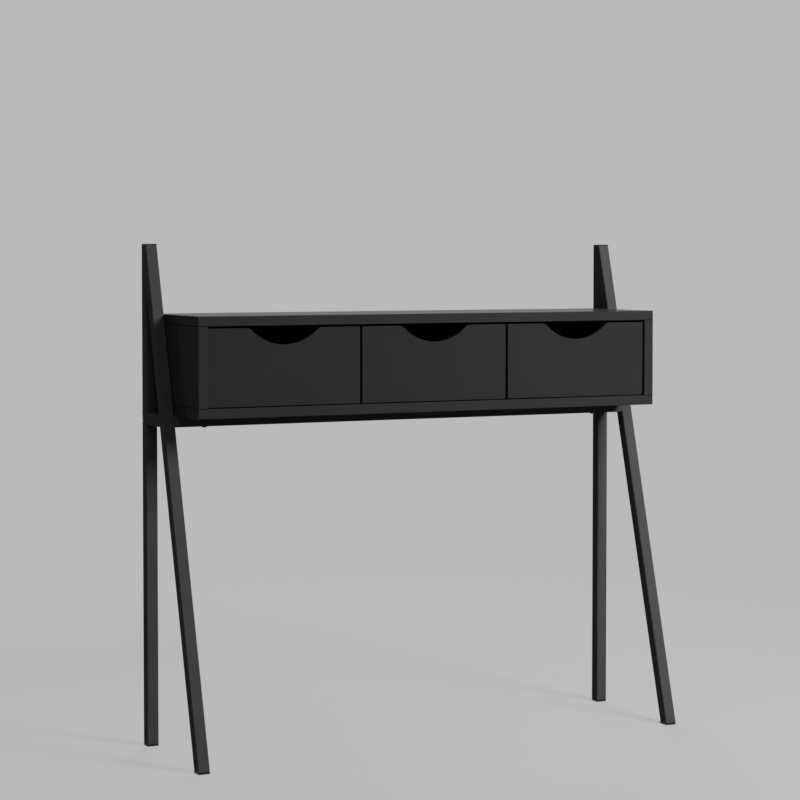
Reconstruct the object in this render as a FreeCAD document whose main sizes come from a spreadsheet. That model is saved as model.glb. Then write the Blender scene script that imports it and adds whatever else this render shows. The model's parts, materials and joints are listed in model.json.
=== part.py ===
"""Slim ladder desk: two A-frame sides of square steel tube carry a shallow box with three drawers.

Millimetres. The origin lies on the floor, midway between the two sides and midway between the wall face
of the posts and the toes of the front legs. +Z is up, the drawers open towards -Y and the wall is at +Y.
"""

import FreeCAD, Part
import math
import os
import Sketcher
from types import SimpleNamespace

SIZES = {
    # the whole desk, and the reach of its front feet from the wall
    "total_width": 1000,
    "total_height": 940,
    "foot_reach": 284,
    # square tube of the two sides and the rails
    "tube_size": 22,
    "tube_wall": 1.5,
    "tube_corner": 2,
    "apex_land": 1,
    # plastic caps on the posts and glides under the feet
    "cap_thickness": 2,
    "cap_plug": 12,
    "glide_thickness": 4,
    "glide_plug": 15,
    # box between the two sides
    "desk_height": 810,
    "box_reach": 230,
    "wall_gap": 4,
    "frame_gap": 1,
    "board": 18,
    "side_board": 19,
    "divider_board": 16,
    "divider_housing": 5,
    "back_board": 3,
    "back_inset": 16,
    "back_groove": 6,
    # drawer fronts and the scoops in their top edges
    "front_board": 16,
    "front_height": 142.4,
    "front_recess": 6,
    "front_gap": 4.7,
    "front_end_gap": 1,
    "front_low_gap": 1.6,
    "front_top_gap": 4,
    "front_stop_gap": 0.5,
    "scoop_depth": 30.9,
    "scoop_radius": 91,
    "scoop_flare": 17.5,
    # drawer boxes
    "drawer_board": 12,
    "drawer_clearance": 6,
    "drawer_side_height": 100,
    "drawer_lift": 10,
    "drawer_rear_gap": 12,
    "drawer_front_housing": 6,
    "drawer_back_housing": 4,
    "drawer_tail": 8,
    "drawer_bottom": 3,
    "bottom_groove": 6,
    "bottom_lift": 8,
    # runner strips, let into the walls of the bays and into grooves of the drawer sides
    "runner_height": 12,
    "runner_housing": 3,
    "runner_groove": 6,
    "runner_play": 0.3,
    "runner_lift": 44,
    "runner_setback": 5,
    "runner_rear_gap": 10,
    # a cam lock with its bolt, and a dowel, at each corner joint of the box
    "cam_diameter": 15,
    "cam_depth": 14,
    "cam_setback": 24,
    "cam_bolt": 6,
    "cam_bolt_bite": 11,
    "cam_edge_inset": 60,
    "dowel_diameter": 8,
    "dowel_panel_depth": 11,
    "dowel_side_depth": 18,
    "dowel_edge_inset": 60,
    # screws up through the rails into the bottom panel
    "box_screw_inset": 61,
    "box_screw_rear_reach": 14,
    "box_screw_shank": 4,
    "box_screw_bite": 11,
    "box_screw_head": 10,
    "box_screw_head_height": 2.5,
    # bolts through the posts into the plugs of the rear rail, and the spigots of the front rail
    "rail_bolt": 6,
    "rail_bolt_head": 12,
    "rail_bolt_head_height": 2.2,
    "rail_bolt_bite": 14,
    "rail_plug": 16,
    "rail_spigot": 40,
    # room round what is pushed or screwed in, room at a hole's end, and how far a cut runs past a face
    "fit_clearance": 0.15,
    "hole_spare": 1,
    "overrun": 10,
}

DRAWERS = {"left": -1, "centre": 0, "right": 1}
SIDES = {"left": -1, "right": 1}
BAYS = len(DRAWERS)

doc = FreeCAD.newDocument("ladder_desk")
sheet = doc.addObject("Spreadsheet::Sheet", "Sizes")
for row, (alias, number) in enumerate(SIZES.items(), start=1):
    sheet.set(f"A{row}", alias)
    sheet.set(f"B{row}", str(number))
    sheet.setAlias(f"B{row}", alias)
doc.recompute()

parts = {}


class Size:
    """A size as a number, for a sketch's first drawing, and as a sum of sheet cells, for its binding."""

    def __init__(self, number, text):
        self.number = number
        self.text = text

    def __add__(self, other):
        return Size(self.number + number_of(other), f"({self.text} + {text_of(other)})")

    def __sub__(self, other):
        return Size(self.number - number_of(other), f"({self.text} - {text_of(other)})")

    def __rsub__(self, other):
        return Size(number_of(other) - self.number, f"({text_of(other)} - {self.text})")

    def __mul__(self, other):
        return Size(self.number * number_of(other), f"({self.text} * {text_of(other)})")

    def __truediv__(self, other):
        return Size(self.number / number_of(other), f"({self.text} / {text_of(other)})")

    def __rtruediv__(self, other):
        return Size(number_of(other) / self.number, f"({text_of(other)} / {self.text})")

    def __neg__(self):
        return Size(-self.number, f"(0 - {self.text})")

    __radd__ = __add__
    __rmul__ = __mul__


def number_of(value):
    return value.number if isinstance(value, Size) else value


def text_of(value):
    return value.text if isinstance(value, Size) else str(value)


def root(size):
    return Size(math.sqrt(size.number), f"sqrt({size.text})")


def bind(thing, **sums):
    for name, value in sums.items():
        thing.setExpression(name, text_of(value))


def place(thing, x, y, z):
    """Puts an object's own origin at a point whose coordinates follow the sheet."""
    for axis, value in zip("xyz", (x, y, z)):
        thing.setExpression(f"Placement.Base.{axis}", text_of(value))


def turn(thing, axis, angle):
    thing.Placement = FreeCAD.Placement(FreeCAD.Vector(), FreeCAD.Rotation(FreeCAD.Vector(*axis), angle))


def block(name, low, high):
    """A box between its lowest and its highest corner."""
    box = doc.addObject("Part::Box", name)
    for side, start, end in zip(("Length", "Width", "Height"), low, high):
        bind(box, **{side: end - start})
    place(box, *low)
    return box


# axis and angle that turn a cylinder from +Z to each direction
TURNS = {
    "+x": ((0, 1, 0), 90),
    "-x": ((0, -1, 0), 90),
    "-y": ((1, 0, 0), 90),
    "+z": ((0, 0, 1), 0),
    "-z": ((1, 0, 0), 180),
}


def rod(name, start, direction, length, diameter):
    """A round bar from a start point along one of the named directions."""
    bar = doc.addObject("Part::Cylinder", name)
    bind(bar, Radius=diameter / 2, Height=length)
    turn(bar, *TURNS[direction])
    place(bar, *start)
    return bar


def screw(name, seat, direction, head, shank):
    """A screw: head and shank are (diameter, length), and the head stands back from its seat."""
    back = {"+x": "-x", "-x": "+x", "+z": "-z"}[direction]
    whole = doc.addObject("Part::Fuse", name)
    whole.Base = rod(f"{name}_head", seat, back, head[1], head[0])
    whole.Tool = rod(f"{name}_shank", seat, direction, shank[1], shank[0])
    return whole


def cut(name, base, tools):
    """The base with every tool taken out of it."""
    tool = tools[0]
    if len(tools) > 1:
        tool = doc.addObject("Part::MultiFuse", f"{name}_tools")
        tool.Shapes = tools
    result = doc.addObject("Part::Cut", name)
    result.Base = base
    result.Tool = tool
    return result


def group(name, pieces):
    """Separate solids of one kind, kept together."""
    result = doc.addObject("Part::Compound", name)
    result.Links = pieces
    return result


def keep(label, thing):
    """Names a finished sub-part, which is written to a file of that name."""
    thing.Label = label
    parts[label] = thing


def sketch_on(body, role, name):
    sketch = body.newObject("Sketcher::SketchObject", name)
    plane = next(f for f in body.Origin.OriginFeatures if f.Role == role)
    sketch.AttachmentSupport = [(plane, "")]
    sketch.MapMode = "FlatFace"
    return sketch


def dimension(sketch, name, value, kind, *where):
    """Adds a driving dimension to a sketch and binds it to the sheet."""
    index = sketch.addConstraint(Sketcher.Constraint(kind, *where, value.number))
    sketch.renameConstraint(index, name)
    sketch.setExpression(f"Constraints.{name}", value.text)


def square(sketch, name, side):
    """Draws a square round the sketch's origin."""
    half_side = side.number / 2
    signs = ((-1, -1), (1, -1), (1, 1), (-1, 1))
    points = [FreeCAD.Vector(x * half_side, y * half_side, 0) for x, y in signs]
    first = sketch.GeometryCount
    for start, end in zip(points, points[1:] + points[:1]):
        sketch.addGeometry(Part.LineSegment(start, end), False)
    for line in range(4):
        sketch.addConstraint(Sketcher.Constraint("Coincident", first + line, 2, first + (line + 1) % 4, 1))
        direction = "Horizontal" if line % 2 == 0 else "Vertical"
        sketch.addConstraint(Sketcher.Constraint(direction, first + line))
    sketch.addConstraint(Sketcher.Constraint("Symmetric", first, 1, first + 1, 2, -1, 1))
    dimension(sketch, f"{name}_across", side, "DistanceX", first, 1, first, 2)
    dimension(sketch, f"{name}_up", side, "DistanceY", first + 1, 1, first + 1, 2)


def tube(name, length):
    """A square tube with rounded outer corners, standing on its own origin."""
    body = doc.addObject("PartDesign::Body", name)
    section = sketch_on(body, "XY_Plane", f"{name}_section")
    square(section, "outside", d.tube_size)
    square(section, "bore", tube_bore)
    pad = body.newObject("PartDesign::Pad", f"{name}_pad")
    pad.Profile = section
    bind(pad, Length=length)
    doc.recompute()
    corners = []
    for index, edge in enumerate(pad.Shape.Edges, start=1):
        start, end = (vertex.Point for vertex in edge.Vertexes)
        upright = abs(start.z - end.z) > d.tube_size.number
        outer = abs(start.x) > (tube_bore.number + d.tube_wall.number) / 2
        if upright and outer:
            corners.append(f"Edge{index}")
    rounding = body.newObject("PartDesign::Fillet", f"{name}_rounding")
    rounding.Base = (pad, corners)
    bind(rounding, Radius=d.tube_corner)
    body.Tip = rounding
    return body


# driving sizes as sheet cells, and what follows from them
d = SimpleNamespace(**{alias: Size(number, f"Sizes.{alias}") for alias, number in SIZES.items()})
tube_bore = d.tube_size - 2 * d.tube_wall
plug_side = tube_bore - 2 * d.fit_clearance

frame_out = d.total_width / 2
frame_in = frame_out - d.tube_size
frame_mid = frame_out - d.tube_size / 2
wall = d.foot_reach / 2
toe = -wall
post_mid = wall - d.tube_size / 2
post_front = wall - d.tube_size
post_top = d.total_height - d.cap_thickness

slope = (d.foot_reach - d.tube_size - d.apex_land) / (post_top - d.glide_thickness)
stretch = root(1 + slope * slope)
leg_cosine = 1 / stretch
leg_sine = slope / stretch
leg_tilt = Size(math.degrees(math.atan(slope.number)), f"atan({slope.text})")
leg_depth = d.tube_size * stretch

box_half = frame_in - d.frame_gap
box_inside = box_half - d.side_board
box_front = wall - d.box_reach
box_rear = wall - d.wall_gap
inside_high = d.desk_height - d.board
inside_low = inside_high - d.front_top_gap - d.front_height - d.front_low_gap
box_low = inside_low - d.board
back_rear = box_rear - d.back_inset
back_face = back_rear - d.back_board

rail_low = box_low - d.tube_size
rail_mid = box_low - d.tube_size / 2
front_rail_y = toe + (rail_mid - d.glide_thickness) * slope + leg_depth / 2

bay = (2 * box_inside - (BAYS - 1) * d.divider_board) / BAYS
bay_pitch = bay + d.divider_board
front_width = (2 * (box_inside - d.front_end_gap) - (BAYS - 1) * d.front_gap) / BAYS
front_pitch = front_width + d.front_gap
front_low = inside_low + d.front_low_gap
front_back = box_front + d.front_recess + d.front_board
divider_front = front_back + d.front_stop_gap

side_low = inside_low + d.drawer_lift
side_high = side_low + d.drawer_side_height
drawer_rear = back_face - d.drawer_rear_gap
bottom_low = side_low + d.bottom_lift
bottom_high = bottom_low + d.drawer_bottom
runner_low = side_low + d.runner_lift
runner_high = runner_low + d.runner_height
runner_reach = d.drawer_clearance + d.runner_groove - d.runner_play
runner_front = divider_front + d.runner_setback
runner_rear = back_face - d.runner_rear_gap

drawer_outer = bay / 2 - d.drawer_clearance
drawer_inner = drawer_outer - d.drawer_board
housing_front = front_back - d.drawer_front_housing
back_front = drawer_rear - d.drawer_tail - d.drawer_board
groove_low = bottom_low - d.fit_clearance
groove_high = bottom_high

loose = 2 * d.fit_clearance
nothing = Size(0, "0")


def between(hand, near, far):
    """Lower and higher X of a span, from its distances to the middle and the side that hand names."""
    return (near, far) if hand > 0 else (-far, -near)


def leaning_block(name, across, inset, thickness, start, length):
    """A bar that leans as the legs do, measured from the legs' front face and up from their toes."""
    box = doc.addObject("Part::Box", name)
    bind(box, Length=across[1] - across[0], Width=thickness, Height=length)
    lean(box, across[0], inset, start)
    return box


def lean(thing, x, inset, start):
    """Tilts an object like the legs, at a depth behind their front face and a distance up from their toes."""
    turn(thing, (-1, 0, 0), leg_tilt.number)
    thing.setExpression("Placement.Rotation.Angle", leg_tilt.text)
    y = toe + inset * leg_cosine + start * leg_sine
    z = d.glide_thickness - inset * leg_sine + start * leg_cosine
    place(thing, x, y, z)


def rear_post(side, hand):
    """Upright tube against the wall, with the hole of the rail bolt through it."""
    name = f"{side}_post"
    body = tube(f"{name}_tube", post_top - d.glide_thickness)
    place(body, hand * frame_mid, post_mid, d.glide_thickness)
    start = hand * (frame_in - d.overrun)
    hole = rod(f"{name}_hole", (start, post_mid, rail_mid), "+x" if hand > 0 else "-x",
               d.tube_size + 2 * d.overrun, d.rail_bolt + loose)
    keep(f"{side}_rear_post", cut(name, body, [hole]))


def front_leg(side, hand):
    """Leaning tube, cut level at the foot and the apex and mitred on the front of the post."""
    name = f"{side}_leg"
    length = (post_top - d.glide_thickness) * stretch + d.tube_size * slope + 2 * d.overrun
    body = tube(f"{name}_tube", length)
    lean(body, hand * frame_mid, d.tube_size / 2, -d.overrun)
    near, far = between(hand, frame_in - d.overrun, frame_out + d.overrun)
    room = block(f"{name}_room", (near, toe - d.overrun, d.glide_thickness), (far, post_front, post_top))
    leg = doc.addObject("Part::Common", name)
    leg.Base = body
    leg.Tool = room
    keep(f"{side}_front_leg", leg)


def side_strut(side, hand):
    """Short level tube from the post to the leaning leg, mitred to the leg."""
    name = f"{side}_strut"
    reach = post_front - toe - (rail_low - d.glide_thickness) * slope
    body = tube(f"{name}_tube", reach)
    turn(body, *TURNS["-y"])
    place(body, hand * frame_mid, post_front, rail_mid)
    near, far = between(hand, frame_in - d.overrun, frame_out + d.overrun)
    mitre_room = 5 * d.tube_size
    start = (rail_mid - d.glide_thickness) * stretch - mitre_room / 2
    inset = d.tube_size - mitre_room
    ahead = leaning_block(f"{name}_mitre", (near, far), inset, mitre_room, start, mitre_room)
    keep(f"{side}_side_strut", cut(name, body, [ahead]))


def rail(name, y, screw_y):
    """Level tube between the two sides, drilled for the screws that hold the box."""
    body = tube(f"{name}_tube", 2 * frame_in)
    turn(body, *TURNS["+x"])
    place(body, -frame_in, y, rail_mid)
    holes = []
    for side, hand in SIDES.items():
        start = (hand * (box_half - d.box_screw_inset), screw_y, rail_low - d.overrun)
        holes.append(rod(f"{name}_{side}_hole", start, "+z", d.tube_size + 2 * d.overrun,
                         d.box_screw_shank + loose))
    keep(name, cut(f"{name}_drilled", body, holes))


def rail_fixings():
    """Bolts, threaded plugs and spigots at the ends of the rails."""
    bolts = []
    plugs = []
    for side, hand in SIDES.items():
        inward = "-x" if hand > 0 else "+x"
        bolt_length = d.tube_size + d.rail_bolt_bite
        bolts.append(screw(f"{side}_rail_bolt", (hand * frame_out, post_mid, rail_mid), inward,
                           (d.rail_bolt_head, d.rail_bolt_head_height), (d.rail_bolt, bolt_length)))
        near, far = between(hand, frame_in - d.rail_plug, frame_in)
        low = rail_mid - plug_side / 2
        plug = block(f"{side}_plug_bar", (near, post_mid - plug_side / 2, low),
                     (far, post_mid + plug_side / 2, low + plug_side))
        start = (hand * (frame_in + d.overrun), post_mid, rail_mid)
        bore = rod(f"{side}_plug_bore", start, inward, d.rail_plug + 2 * d.overrun, d.rail_bolt + loose)
        plugs.append(cut(f"{side}_plug", plug, [bore]))
        near, far = between(hand, frame_in - d.rail_spigot, frame_in)
        keep(f"{side}_rail_spigot",
             block(f"{side}_spigot", (near, front_rail_y - plug_side / 2, low),
                   (far, front_rail_y + plug_side / 2, low + plug_side)))
    keep("rear_rail_bolts", group("rail_bolts", bolts))
    keep("rear_rail_plugs", group("rail_plugs", plugs))


def caps_and_glides():
    """Caps that close the posts, and glides under the posts and the leaning legs."""
    caps = []
    rear_glides = []
    front_glides = []
    for side, hand in SIDES.items():
        near, far = between(hand, frame_in, frame_out)
        plug_near, plug_far = between(hand, frame_mid - plug_side / 2, frame_mid + plug_side / 2)
        plug_front = post_mid - plug_side / 2
        plug_back = post_mid + plug_side / 2

        cap = doc.addObject("Part::Fuse", f"{side}_cap")
        cap.Base = block(f"{side}_cap_plate", (near, post_front - d.apex_land, post_top),
                         (far, wall, d.total_height))
        cap.Tool = block(f"{side}_cap_plug", (plug_near, plug_front, post_top - d.cap_plug),
                         (plug_far, plug_back, post_top))
        caps.append(cap)

        rear = doc.addObject("Part::Fuse", f"{side}_rear_glide")
        rear.Base = block(f"{side}_rear_glide_pad", (near, post_front, nothing),
                          (far, wall, d.glide_thickness))
        rear.Tool = block(f"{side}_rear_glide_plug", (plug_near, plug_front, d.glide_thickness),
                          (plug_far, plug_back, d.glide_thickness + d.glide_plug))
        rear_glides.append(rear)

        bar = leaning_block(f"{side}_front_glide_bar", (plug_near, plug_far), (d.tube_size - plug_side) / 2,
                            plug_side, -d.overrun, d.glide_plug + d.overrun)
        below = block(f"{side}_front_glide_below", (near, toe - d.tube_size, -d.tube_size),
                      (far, post_front, d.glide_thickness))
        front = doc.addObject("Part::Fuse", f"{side}_front_glide")
        front.Base = block(f"{side}_front_glide_pad", (near, toe, nothing),
                           (far, toe + leg_depth, d.glide_thickness))
        front.Tool = cut(f"{side}_front_glide_plug", bar, [below])
        front_glides.append(front)
    keep("post_caps", group("caps", caps))
    keep("rear_glides", group("rear_glide_pair", rear_glides))
    keep("front_glides", group("front_glide_pair", front_glides))


def corner_joints():
    """The joints of the side panels with the long ones: side, hand, end, height and way to the long panel."""
    for side, hand in SIDES.items():
        for end, height, way in (("low", inside_low, -1), ("high", inside_high, 1)):
            yield side, hand, end, height, way


def joint_rod(name, joint, y, bite, reach, diameter):
    """Upright rod that bites into the long panel of a joint and reaches into the end of the side panel."""
    side, hand, end, height, way = joint
    start = (hand * (box_half - d.side_board / 2), y, height + way * bite)
    return rod(f"{side}_{end}_{name}", start, "-z" if way > 0 else "+z", bite + reach, diameter)


def cam_bolt(name, joint, reach, diameter):
    """Rod from its seat in a long panel towards a cam lock."""
    return joint_rod(name, joint, box_rear - d.cam_edge_inset, d.cam_bolt_bite, reach, diameter)


def cam(name, joint, grow):
    """Disc let into the inner face of a side panel, larger by grow for its bore."""
    side, hand, end, height, way = joint
    start = (hand * box_inside, box_rear - d.cam_edge_inset, height - way * d.cam_setback)
    return rod(f"{side}_{end}_{name}", start, "+x" if hand > 0 else "-x", d.cam_depth + grow,
               d.cam_diameter + 2 * grow)


def dowel(name, joint, grow):
    """Dowel across a joint, larger by grow for its holes."""
    return joint_rod(name, joint, box_front + d.dowel_edge_inset, d.dowel_panel_depth + grow,
                     d.dowel_side_depth + grow, d.dowel_diameter + 2 * grow)


def corner_holes(board, joints):
    """Bores that the fittings of these joints need in one board."""
    holes = []
    for joint in joints:
        holes.append(dowel(f"{board}_dowel_hole", joint, d.fit_clearance))
        holes.append(cam_bolt(f"{board}_bolt_hole", joint, d.cam_setback, d.cam_bolt + loose))
    return holes


def corner_fittings():
    """Cam locks with their bolts, and dowels."""
    cams = []
    bolts = []
    dowels = []
    rim = d.cam_setback - d.cam_diameter / 2 - d.fit_clearance
    for joint in corner_joints():
        cams.append(cam("cam", joint, nothing))
        bolts.append(cam_bolt("cam_bolt", joint, rim, d.cam_bolt))
        dowels.append(dowel("dowel", joint, nothing))
    keep("cam_locks", group("cams", cams))
    keep("cam_bolts", group("cam_bolt_set", bolts))
    keep("box_dowels", group("dowels", dowels))


def divider_span(hand):
    return between(hand, bay / 2, bay / 2 + d.divider_board)


def housings(prefix, low, high):
    """Stopped slots in a long panel for the two dividers, and the groove of the back panel."""
    slots = []
    for side, hand in SIDES.items():
        near, far = divider_span(hand)
        slots.append(block(f"{prefix}_{side}_housing", (near, divider_front, low), (far, back_face, high)))
    edge = box_inside + d.back_groove
    slots.append(block(f"{prefix}_back_groove", (-edge, back_face - d.fit_clearance, low),
                       (edge, back_rear + d.fit_clearance, high)))
    return slots


def top_panel():
    whole = block("top_board", (-box_half, box_front, inside_high), (box_half, box_rear, d.desk_height))
    tools = housings("top", inside_high - d.overrun, inside_high + d.divider_housing)
    tools += corner_holes("top", [joint for joint in corner_joints() if joint[2] == "high"])
    keep("top_panel", cut("top", whole, tools))


def bottom_panel():
    whole = block("bottom_board", (-box_half, box_front, box_low), (box_half, box_rear, inside_low))
    tools = housings("bottom", inside_low - d.divider_housing, inside_low + d.overrun)
    tools += corner_holes("bottom", [joint for joint in corner_joints() if joint[2] == "low"])
    for name, seat, shank_length in box_screw_places():
        tools.append(rod(f"{name}_pilot", seat, "+z", shank_length + d.hole_spare, d.box_screw_shank + loose))
    keep("bottom_panel", cut("bottom", whole, tools))


def box_screw_places():
    """Seats of the screws under the two rails, and the length of their shanks."""
    shank_length = d.tube_size + d.box_screw_bite
    for side, hand in SIDES.items():
        x = hand * (box_half - d.box_screw_inset)
        yield f"{side}_front_box_screw", (x, front_rail_y, rail_low), shank_length
        yield f"{side}_rear_box_screw", (x, wall - d.box_screw_rear_reach, rail_low), shank_length


def box_screws():
    screws = []
    for name, seat, shank_length in box_screw_places():
        screws.append(screw(name, seat, "+z", (d.box_screw_head, d.box_screw_head_height),
                            (d.box_screw_shank, shank_length)))
    keep("box_screws", group("box_screw_set", screws))


def runner_strip(name, drawer_name, side):
    """Strip on one wall of a bay, let into the wall and standing out of it into the drawer's groove."""
    hand = SIDES[side]
    middle = DRAWERS[drawer_name] * bay_pitch + nothing
    near, far = between(hand, bay / 2 - runner_reach, bay / 2 + d.runner_housing)
    return block(name, (middle + near, runner_front, runner_low), (middle + far, runner_rear, runner_high))


def runners():
    for drawer_name in DRAWERS:
        for side in SIDES:
            name = f"{drawer_name}_bay_{side}_runner"
            keep(name, runner_strip(f"{name}_strip", drawer_name, side))


def side_panel(side, hand):
    """Upright end of the box, between the long panels."""
    near, far = between(hand, box_inside, box_half)
    upright = block(f"{side}_side_board", (near, box_front, inside_low), (far, box_rear, inside_high))
    near, far = between(hand, box_inside - d.overrun, box_inside + d.back_groove)
    groove = block(f"{side}_side_groove", (near, back_face - d.fit_clearance, inside_low - d.overrun),
                   (far, back_rear + d.fit_clearance, inside_high + d.overrun))
    joints = [joint for joint in corner_joints() if joint[0] == side]
    tools = [groove, runner_strip(f"{side}_side_runner_housing", side, side)]
    tools += corner_holes(f"{side}_side", joints)
    tools += [cam("cam_bore", joint, d.fit_clearance) for joint in joints]
    keep(f"{side}_side_panel", cut(f"{side}_side", upright, tools))


def divider(side, hand):
    """Upright between two drawers, housed in the long panels and set back behind the drawer fronts."""
    near, far = divider_span(hand)
    upright = block(f"{side}_divider_board", (near, divider_front, inside_low - d.divider_housing),
                    (far, back_face, inside_high + d.divider_housing))
    other_side = "left" if hand > 0 else "right"
    tools = [runner_strip(f"{side}_divider_inner_housing", "centre", side),
             runner_strip(f"{side}_divider_outer_housing", side, other_side)]
    keep(f"{side}_divider", cut(f"{side}_divider_housed", upright, tools))


def back_panel():
    edge = box_inside + d.back_groove - d.fit_clearance
    lap = d.divider_housing - d.fit_clearance
    keep("back_panel", block("back", (-edge, back_face, inside_low - lap),
                             (edge, back_rear, inside_high + lap)))


def scooped_board(name):
    """Drawer front as one outline: a board with a half-moon scoop whose ends flare into the top edge."""
    radius = d.scoop_radius
    flare = d.scoop_flare
    arm = radius + flare
    half_scoop = root(arm * arm - (arm - d.scoop_depth) * (arm - d.scoop_depth))
    half_front = front_width / 2
    high = d.front_height

    body = doc.addObject("PartDesign::Body", name)
    sketch = sketch_on(body, "XZ_Plane", f"{name}_outline")
    swing = math.asin(half_scoop.number / arm.number)
    quarter = math.pi / 2
    x_scoop = half_scoop.number
    x_edge = half_front.number
    top = high.number
    up = FreeCAD.Vector(0, 0, 1)
    scoop_centre = FreeCAD.Vector(0, top - d.scoop_depth.number + radius.number, 0)
    flare_centres = [FreeCAD.Vector(x, top - flare.number, 0) for x in (x_scoop, -x_scoop)]
    corners = [FreeCAD.Vector(x, y, 0) for x, y in
               ((-x_edge, 0), (x_edge, 0), (x_edge, top), (x_scoop, top), (-x_scoop, top), (-x_edge, top))]
    base, right, top_right, flare_right, scoop, flare_left, top_left, left = range(8)
    sketch.addGeometry(Part.LineSegment(corners[0], corners[1]), False)
    sketch.addGeometry(Part.LineSegment(corners[1], corners[2]), False)
    sketch.addGeometry(Part.LineSegment(corners[2], corners[3]), False)
    for centre, arc_radius, start, end in (
        (flare_centres[0], flare, quarter, quarter + swing),
        (scoop_centre, radius, -quarter - swing, swing - quarter),
        (flare_centres[1], flare, quarter - swing, quarter),
    ):
        circle = Part.Circle(centre, up, arc_radius.number)
        sketch.addGeometry(Part.ArcOfCircle(circle, start, end), False)
    sketch.addGeometry(Part.LineSegment(corners[4], corners[5]), False)
    sketch.addGeometry(Part.LineSegment(corners[5], corners[0]), False)
    joins = [(base, 2, right, 1), (right, 2, top_right, 1), (top_left, 2, left, 1), (left, 2, base, 1)]
    for join in joins:
        sketch.addConstraint(Sketcher.Constraint("Coincident", *join))
    smooth = [(top_right, 2, flare_right, 1), (flare_right, 2, scoop, 2), (scoop, 1, flare_left, 1),
              (flare_left, 2, top_left, 1)]
    for join in smooth:
        sketch.addConstraint(Sketcher.Constraint("Tangent", *join))
    for line in (base, top_right, top_left):
        sketch.addConstraint(Sketcher.Constraint("Horizontal", line))
    for line in (right, left):
        sketch.addConstraint(Sketcher.Constraint("Vertical", line))
    sketch.addConstraint(Sketcher.Constraint("Symmetric", base, 1, base, 2, -1, 1))
    sketch.addConstraint(Sketcher.Constraint("PointOnObject", scoop, 3, -2))
    sketch.addConstraint(Sketcher.Constraint("Equal", flare_right, flare_left))
    dimension(sketch, "front_width", front_width, "DistanceX", base, 1, base, 2)
    dimension(sketch, "front_height", high, "DistanceY", right, 1, right, 2)
    dimension(sketch, "scoop_radius", radius, "Radius", scoop)
    dimension(sketch, "scoop_flare", flare, "Radius", flare_right)
    dimension(sketch, "scoop_centre", high - d.scoop_depth + radius, "DistanceY", -1, 1, scoop, 3)

    pad = body.newObject("PartDesign::Pad", f"{name}_pad")
    pad.Profile = sketch
    bind(pad, Length=d.front_board)
    body.Tip = pad
    return body


def drawer_side(name, side, middle):
    """Grooved side: the runner's groove outside, the bottom's groove and the back's housing inside."""
    hand = SIDES[side]
    near, far = between(hand, drawer_inner, drawer_outer)
    whole = block(f"{name}_{side}_board", (middle + near, housing_front, side_low),
                  (middle + far, drawer_rear, side_high))
    near, far = between(hand, drawer_outer - d.runner_groove, drawer_outer + d.overrun)
    runner_groove = block(f"{name}_{side}_runner_groove",
                          (middle + near, front_back, runner_low - d.runner_play),
                          (middle + far, drawer_rear + d.overrun, runner_high + d.runner_play))
    near, far = between(hand, drawer_inner - d.overrun, drawer_inner + d.bottom_groove)
    bottom_groove = block(f"{name}_{side}_bottom_groove",
                          (middle + near, housing_front - d.overrun, groove_low),
                          (middle + far, drawer_rear + d.overrun, groove_high))
    near, far = between(hand, drawer_inner - d.overrun, drawer_inner + d.drawer_back_housing)
    back_housing = block(f"{name}_{side}_back_housing", (middle + near, back_front, bottom_high),
                         (middle + far, back_front + d.drawer_board, side_high + d.overrun))
    keep(f"{name}_{side}_side", cut(f"{name}_{side}", whole, [runner_groove, bottom_groove, back_housing]))


def drawer_front(name, middle, front_middle):
    """Scooped front, with housings for the two sides and a groove for the bottom in its back."""
    slots = [block(f"{name}_front_groove", (middle - drawer_inner, front_back - d.bottom_groove, groove_low),
                   (middle + drawer_inner, front_back + d.overrun, groove_high))]
    for side, hand in SIDES.items():
        near, far = between(hand, drawer_inner, drawer_outer)
        slots.append(block(f"{name}_{side}_housing", (middle + near, housing_front, side_low),
                           (middle + far, front_back + d.overrun, side_high)))
    face = scooped_board(f"{name}_face")
    place(face, front_middle, front_back, front_low)
    keep(f"{name}_front", cut(f"{name}_front_housed", face, slots))


def drawer(drawer_name, step):
    """One drawer: a scooped front, two grooved sides, a back and a thin bottom."""
    name = f"{drawer_name}_drawer"
    middle = step * bay_pitch + nothing
    drawer_front(name, middle, step * front_pitch + nothing)
    for side in SIDES:
        drawer_side(name, side, middle)
    half_back = drawer_inner + d.drawer_back_housing
    keep(f"{name}_back", block(f"{name}_back_board", (middle - half_back, back_front, bottom_high),
                               (middle + half_back, back_front + d.drawer_board, side_high)))
    half_bottom = drawer_inner + d.bottom_groove - d.fit_clearance
    bottom_front = front_back - d.bottom_groove + d.fit_clearance
    keep(f"{name}_bottom", block(f"{name}_bottom_board", (middle - half_bottom, bottom_front, bottom_low),
                                 (middle + half_bottom, drawer_rear, bottom_high)))


for side_name, side_hand in SIDES.items():
    rear_post(side_name, side_hand)
    front_leg(side_name, side_hand)
    side_strut(side_name, side_hand)
    side_panel(side_name, side_hand)
    divider(side_name, side_hand)
rail("front_rail", front_rail_y, front_rail_y)
rail("rear_rail", post_mid, wall - d.box_screw_rear_reach)
rail_fixings()
caps_and_glides()
top_panel()
bottom_panel()
back_panel()
corner_fittings()
box_screws()
runners()
for drawer_word, drawer_step in DRAWERS.items():
    drawer(drawer_word, drawer_step)
doc.recompute()

for thing in doc.Objects:
    if {"Invalid", "Error"} & set(thing.State):
        raise RuntimeError(f"{thing.Label} did not build: {thing.State}")
for label, thing in parts.items():
    if thing.Shape.isNull() or not thing.Shape.isValid():
        raise RuntimeError(f"{label} has no valid shape")

os.makedirs("parts", exist_ok=True)
for label, thing in parts.items():
    thing.Shape.exportStep(f"parts/{label}.step")
    print(label, len(thing.Shape.Solids), "solids", round(thing.Shape.Volume), "mm3")
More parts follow.
